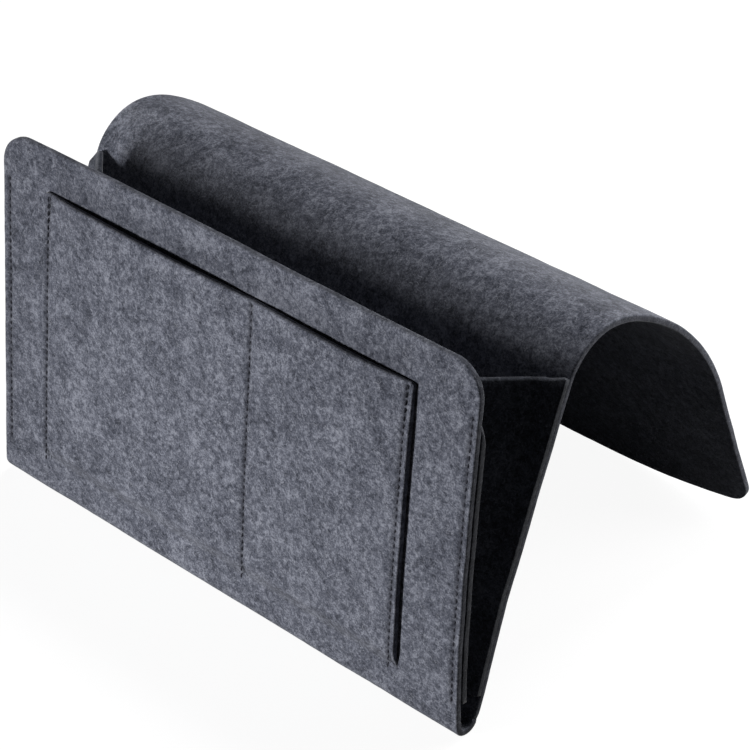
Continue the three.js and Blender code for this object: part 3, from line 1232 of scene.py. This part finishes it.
@dataclass
class GussetHalf:
    """One half of a pleated gusset, with the flange that is sewn to a wall of the pocket."""

    sizes: GussetSizes
    panel: Panel
    end: End
    material: bpy.types.Material

    def crease_reach(self, height: np.ndarray) -> np.ndarray:
        """Width of the half from its hinge to the crease.

        Args:
            height: Heights up the wall.

        Returns:
            Widths there.
        """
        half_wedge = math.radians((STRIP.back_lean - STRIP.front_lean) / 2)
        hinge = STRIP.fold_radius - STRIP.felt / 2 - STRIP.seam_gap - STRIP.felt
        middle = hinge / math.cos(half_wedge) + height * math.sin(half_wedge)
        return middle / math.sin(math.radians(self.sizes.angle))

    def bent(self, across: np.ndarray, lift: np.ndarray) -> tuple[np.ndarray, np.ndarray]:
        """Bend the felt at its hinge.

        Args:
            across: Distances from the flange's outer edge, on the face towards the pleat.
            lift: Distances from that face into the felt.

        Returns:
            Distances in from the end of the caddy, and away from the wall.
        """
        angle = math.radians(self.sizes.angle)
        radius = self.sizes.bend
        tangent = radius * math.tan(angle / 2)
        start = self.sizes.flange - tangent
        turn = np.clip((across - start) / radius, 0.0, angle)
        straight_in = np.minimum(across, start)
        beyond = np.maximum(across - start - radius * angle, 0.0)
        inward = straight_in + radius * np.sin(turn) + beyond * np.cos(angle) + lift * np.sin(turn)
        away = radius * (1.0 - np.cos(turn)) + beyond * np.sin(angle) - lift * np.cos(turn)
        return inward, away

    def gathered(self, height: np.ndarray) -> np.ndarray:
        """Draw the left gusset towards its end near the top.

        Args:
            height: Heights up the wall.

        Returns:
            Distances towards the end of the caddy.
        """
        if self.end is End.RIGHT:
            return np.zeros(height.shape)
        sizes = self.sizes
        return sizes.left_gather * ease((height - sizes.top + sizes.gather_reach) / sizes.gather_reach)

    def place(self, across: np.ndarray, height: np.ndarray, lift: np.ndarray) -> np.ndarray:
        """Points from flat places on the felt.

        Args:
            across: Distances from the flange's outer edge.
            height: Heights up the wall.
            lift: Distances from the middle of the felt, towards the wall.

        Returns:
            Points in metres.
        """
        depth = lift + STRIP.felt / 2
        reach = self.sizes.flange + self.crease_reach(height)
        near_crease = np.clip(1.0 - (reach - across) / self.sizes.mitre, 0.0, 1.0)
        mitred = across + near_crease * depth / math.tan(math.radians(self.sizes.widest_angle))
        inward, away = self.bent(mitred, depth)
        on_flange = np.clip(across / self.sizes.flange, 0.0, 1.0)
        held = np.clip((across - self.sizes.flange) / self.crease_reach(height), 0.0, 1.0)
        inward = inward - self.gathered(height) * on_flange * (1.0 - held)
        x = self.end.value * (STRIP.width / 2 - inward)
        x = x - on_flange * (SOFT.spread(self.panel, x, height) - x)
        flange_face = STRIP.felt / 2 + STRIP.seam_gap + STRIP.felt
        points = on_panel(self.panel, x, height, -flange_face - away)
        if self.panel is Panel.FRONT:
            outward = right_of(STRIP.front_lean) * self.panel.value
            points[:, 1:] += (held * SOFT.sway_at(x, height))[:, None] * outward
        return points

    def top_edge(self, flange_stops: np.ndarray, share: np.ndarray) -> np.ndarray:
        """Line of the half's upper edge.

        Args:
            flange_stops: Places across the flange, and its hinge for columns beyond it.
            share: Shares of the way from the hinge to the crease.

        Returns:
            Heights up the wall, short of the rounded edge.
        """
        sizes = self.sizes
        rise, dip = (sizes.left_rise, sizes.left_dip) if self.end is End.LEFT else (0.0, sizes.dip)
        top = sizes.top + rise - sizes.edge - dip * share
        outness = np.clip(1.0 - flange_stops / sizes.flange, 0.0, 1.0)
        if self.panel is Panel.FRONT:
            return top - sizes.front_chamfer * outness**2
        if self.end is End.RIGHT:
            return top + sizes.back_rise * outness
        return top - sizes.back_chamfer * outness

    def cut(self) -> FeltCut:
        """Cut the half and its flange.

        Returns:
            The flat felt, thinned where the flange is sewn down.
        """
        sizes = self.sizes
        flange_stops = stations(sizes.inset + sizes.seam_edge, sizes.flange, FINE_STEP)[:-1]
        share = np.concatenate([np.zeros(len(flange_stops)), np.linspace(0.0, 1.0, GUSSET_COLUMNS)])
        flange_stops = np.concatenate([flange_stops, np.full(GUSSET_COLUMNS, sizes.flange)])
        low = sizes.bottom + sizes.edge
        rows = np.linspace(0.0, 1.0, GUSSET_ROWS)[:, None]
        height = low + (self.top_edge(flange_stops, share) - low) * rows
        width = self.crease_reach(height) + sizes.crease_lap
        across = flange_stops + share * width
        face = np.full(across.shape, STRIP.felt / 2)
        squeezed = sizes.pressed * (1.0 - ease((across - sizes.flange / 2) / (sizes.flange / 2)))
        rim = Rim(sizes.edge, sizes.edge, sizes.seam_edge, JOINED_EDGE)
        return FeltCut(across, height, face, squeezed - face, rim)

    def make(self) -> bpy.types.Object:
        """Make the half and its flange.

        Returns:
            The piece.
        """
        sizes = self.sizes
        word = f"{self.panel.word}_{self.end.word}"
        piece = self.cut().fold(f"gusset_{word}_felt", self.place, self.material)
        names = [f"gusset_{self.panel.word}_{kind}_{self.end.word}" for kind in ("flange", "half")]
        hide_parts(*names)
        hinge = STRIP.width / 2 - sizes.flange
        start = (self.end.value * (hinge + STRIP.felt / 2), 0.0, 0.0)
        stop = (self.end.value * (hinge - STRIP.felt / 2), 0.0, 0.0)
        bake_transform(piece)
        return piece


STITCH_RINGS = 7
STITCH_SIDES = 8


@dataclass
class StitchRow:
    """A row of separate stitches that dip into the felt between each other."""

    name: str
    node: str
    body: str
    place: Place
    seam: SeamLine
    face: float
    material: bpy.types.Material

    def stitch(self, low: float) -> tuple[np.ndarray, list[list[int]]]:
        """One stitch, as flat places on the wall.

        Args:
            low: Height of its lower end.

        Returns:
            Rows of x, height and lift, and the faces among them.
        """
        places = []
        for ring in range(STITCH_RINGS):
            share = ring / (STITCH_RINGS - 1)
            rise = math.sin(math.pi * share)
            radius = STITCH.radius * (STITCH.tip + STITCH.belly * rise)
            lift = self.face - STITCH.groove_depth + STITCH.hump * rise
            x = self.seam.x + STITCH.slant * (share - 0.5)
            height = low + STITCH.pitch * STITCH.share * share
            for side in range(STITCH_SIDES):
                turn = 2.0 * math.pi * side / STITCH_SIDES
                places.append((x + radius * math.cos(turn), height, lift + radius * math.sin(turn)))
        faces = []
        for ring in range(STITCH_RINGS - 1):
            base = ring * STITCH_SIDES
            above = base + STITCH_SIDES
            for side in range(STITCH_SIDES):
                after = (side + 1) % STITCH_SIDES
                faces.append([base + side, base + after, above + after, above + side])
        last = (STITCH_RINGS - 1) * STITCH_SIDES
        faces.append(list(range(STITCH_SIDES))[::-1])
        faces.append([last + side for side in range(STITCH_SIDES)])
        return np.array(places), faces

    def make(self) -> bpy.types.Object:
        """Make the row of stitches.

        Returns:
            The piece, riding with its wall.
        """
        count = int((self.seam.high - self.seam.low) / STITCH.pitch)
        places = []
        faces: list[list[int]] = []
        for index in range(count):
            low = self.seam.high - STITCH.pitch * (index + (1.0 + STITCH.share) / 2)
            stitch_places, stitch_faces = self.stitch(low)
            shift = sum(len(done) for done in places)
            places.append(stitch_places)
            faces += [[corner + shift for corner in face] for face in stitch_faces]
        flat = np.concatenate(places)
        points = self.place(*flat.T)
        piece = make_piece(self.name, points, faces, self.material)
        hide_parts(self.node)
        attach(piece, self.body)
        return piece


def view_back(azimuth: float, elevation: float) -> Vector:
    """Direction from the caddy towards a viewer.

    Args:
        azimuth: Degrees round from the front, towards the right.
        elevation: Degrees above the floor.

    Returns:
        A unit vector.
    """
    turn = math.radians(azimuth)
    rise = math.radians(elevation)
    return Vector((math.sin(turn) * math.cos(rise), -math.cos(turn) * math.cos(rise), math.sin(rise)))


@dataclass(frozen=True)
class Lamp:
    """A lamp that faces a place; a white card there that faces it reflects about its level."""

    name: str
    azimuth: float
    elevation: float
    distance: float
    level: float
    aim: tuple[float, float, float]

    def hang(self, data: bpy.types.Light) -> None:
        """Hang the lamp.

        Args:
            data: The lamp's light.
        """
        lamp = put(self.name, data)
        back = view_back(self.azimuth, self.elevation)
        lamp.location = Vector(self.aim) + self.distance * back
        lamp.rotation_euler = back.to_track_quat("Z", "Y").to_euler()


@dataclass(frozen=True)
class SpotLamp(Lamp):
    """A round lamp with a soft beam, brightest where it points."""

    radius: float
    beam: float

    def light(self) -> None:
        """Make the light and hang the lamp."""
        data = bpy.data.lights.new(self.name, "SPOT")
        data.shadow_soft_size = self.radius
        data.spot_size = math.radians(self.beam)
        data.spot_blend = 1.0
        data.energy = self.level * 4.0 * math.pi**2 * self.distance**2
        self.hang(data)


@dataclass(frozen=True)
class BoxLamp(Lamp):
    """A soft box."""

    width: float
    height: float

    def light(self) -> None:
        """Make the light and hang the lamp."""
        data = bpy.data.lights.new(self.name, "AREA")
        data.shape = "RECTANGLE"
        data.size = self.width
        data.size_y = self.height
        data.energy = self.level * math.pi**2 * self.distance**2
        self.hang(data)


PANEL_FOOT = (0.014, -0.115, 0.035)
MIDDLE = (0.0, 0.0, 0.1)
LAMPS = (
    SpotLamp(
        "front_spot", azimuth=-23.0, elevation=4.0, distance=1.8, level=1.19, aim=PANEL_FOOT,
        radius=0.20, beam=28.0,
    ),
    BoxLamp(
        "top_box", azimuth=-172.0, elevation=65.5, distance=1.6, level=0.68, aim=MIDDLE,
        width=0.9, height=0.4,
    ),
    BoxLamp(
        "rim_box", azimuth=131.0, elevation=12.0, distance=0.47, level=0.43, aim=MIDDLE,
        width=0.25, height=0.25,
    ),
)


def by_ray(bench: NodeBench, light: bpy.types.Node, shown: bpy.types.Node) -> Socket:
    """Show one shader to the eye, also in a mirror or glass, and light the caddy with another.

    Args:
        bench: The nodes of the floor or of the surroundings.
        light: Shader that lights the caddy.
        shown: Shader that is seen.

    Returns:
        The two shaders, mixed by the kind of ray.
    """
    rays = bench.add("ShaderNodeLightPath").outputs
    straight = bench.math("MAXIMUM", rays["Is Camera Ray"], rays["Is Glossy Ray"])
    seen = bench.math("MAXIMUM", straight, rays["Is Transmission Ray"])
    sockets = {0: seen, 1: light.outputs[0], 2: shown.outputs[0]}
    return bench.add("ShaderNodeMixShader", sockets).outputs[0]


@dataclass(frozen=True)
class Studio:
    """Camera, soft boxes, floor and surroundings."""

    azimuth: float = 43.2709
    elevation: float = 33.4449
    lens: float = 130.715
    sensor: float = 36.0
    clip_start: float = 0.05
    clip_end: float = 30.0
    distance: float = 1.3614
    aim: tuple[float, float, float] = (0.02317, -0.02637, 0.10003)
    floor_size: float = 12.0
    floor_drop: float = 0.0004
    floor_bounce: float = 0.10
    floor_glow: float = 0.93
    floor_tone: float = 0.20
    ambient: float = 0.013

    def camera(self) -> None:
        """Set the camera at the photograph's viewing angle."""
        data = bpy.data.cameras.new("camera")
        data.lens = self.lens
        data.sensor_width = self.sensor
        data.clip_start = self.clip_start
        data.clip_end = self.clip_end
        camera = put("camera", data)
        camera.location = Vector(self.aim) + self.distance * view_back(self.azimuth, self.elevation)
        camera.rotation_euler = (math.radians(90.0 - self.elevation), 0.0, math.radians(self.azimuth))
        bpy.context.scene.camera = camera

    def lamps(self) -> None:
        """Hang a low spot in front, a large box above and behind, and a dim one behind on the right."""
        for lamp in LAMPS:
            lamp.light()

    def floor(self) -> None:
        """Lay a pale floor that keeps the caddy's shadow."""
        material, bench = new_material("pale_floor")
        lit = bench.add("ShaderNodeBsdfDiffuse", {"Color": grey(self.floor_tone)})
        glow = bench.add("ShaderNodeEmission", {"Color": WHITE, "Strength": self.floor_glow})
        shown = bench.add("ShaderNodeAddShader", {0: lit.outputs[0], 1: glow.outputs[0]})
        plain = bench.add("ShaderNodeBsdfDiffuse", {"Color": grey(self.floor_bounce)})
        bench.add("ShaderNodeOutputMaterial", {"Surface": by_ray(bench, plain, shown)})
        half = self.floor_size / 2
        corners = [(-half, -half), (half, -half), (half, half), (-half, half)]
        mesh = bpy.data.meshes.new("floor")
        mesh.from_pydata([(x, y, -self.floor_drop) for x, y in corners], [], [(0, 1, 2, 3)])
        mesh.materials.append(material)
        floor = put("floor", mesh)

    def surroundings(self) -> None:
        """Give a white background to the eye and a low even light to the caddy."""
        world = bpy.data.worlds.new("studio")
        world.use_nodes = True
        bench = NodeBench(world.node_tree)
        white = bench.add("ShaderNodeBackground", {"Color": WHITE, "Strength": 1.0})
        low = bench.add("ShaderNodeBackground", {"Color": WHITE, "Strength": self.ambient})
        bench.add("ShaderNodeOutputWorld", {"Surface": by_ray(bench, low, white)})
        bpy.context.scene.world = world

    def make(self) -> None:
        """Set up the whole studio."""
        bpy.context.scene.view_settings.view_transform = "Standard"
        self.camera()
        self.lamps()
        self.floor()
        self.surroundings()


def stitch_rows(material: bpy.types.Material) -> list[StitchRow]:
    """All rows of stitching on the caddy.

    Args:
        material: Finish of the thread.

    Returns:
        The rows, not yet made.
    """
    face = STRIP.felt / 2
    walls = (
        ("front", "front", on_front, FRONT_SEAMS),
        ("back", "pocket_back", on_back, BACK_SEAMS),
    )
    rows = []
    for end in End:
        for wall, body, place, seams in walls:
            name = f"{wall}_stitches_{end.word}"
            node = f"{wall}_seam_thread_{end.word}"
            rows.append(StitchRow(name, node, body, place, seams[end], face, material))
    patch_face = face + STRIP.seam_gap + STRIP.felt
    for word, seam in PATCH_SEAMS.items():
        name = f"patch_stitches_{word}"
        node = f"patch_thread_{word}"
        rows.append(StitchRow(name, node, "front", on_patch, seam, patch_face, material))
    return rows


def main() -> None:
    """Build the caddy and its studio."""
    logging.basicConfig(level=logging.INFO, format="%(name)s: %(message)s")
    Studio().make()
    felt = FeltFinish("caddy_felt").make()
    patch_felt = FeltFinish("patch_felt").make()
    # The gusset felt is darker than the strip's felt: a little its own tone, mostly painted shade for the
    # shadowed pleats
    gusset_felt = FeltFinish(
        "gusset_felt", dark=(40, 42, 48), middle=(72, 75, 83), pale=(108, 111, 121), hair=(130, 133, 142)
    ).make()
    thread = ThreadFinish("sewing_thread").make()
    strip = FeltStrip(STRIP, felt)
    pieces = [strip.back(), strip.front(), PocketPatch(PATCH, patch_felt).make()]
    for end in End:
        for panel in Panel:
            pieces.append(GussetHalf(GUSSET, panel, end, gusset_felt).make())
    pieces += [row.make() for row in stitch_rows(thread)]
    for piece in pieces:
        log.info("%s: %d faces", piece.name, len(piece.data.polygons))


if __name__ == "__main__":
    main()
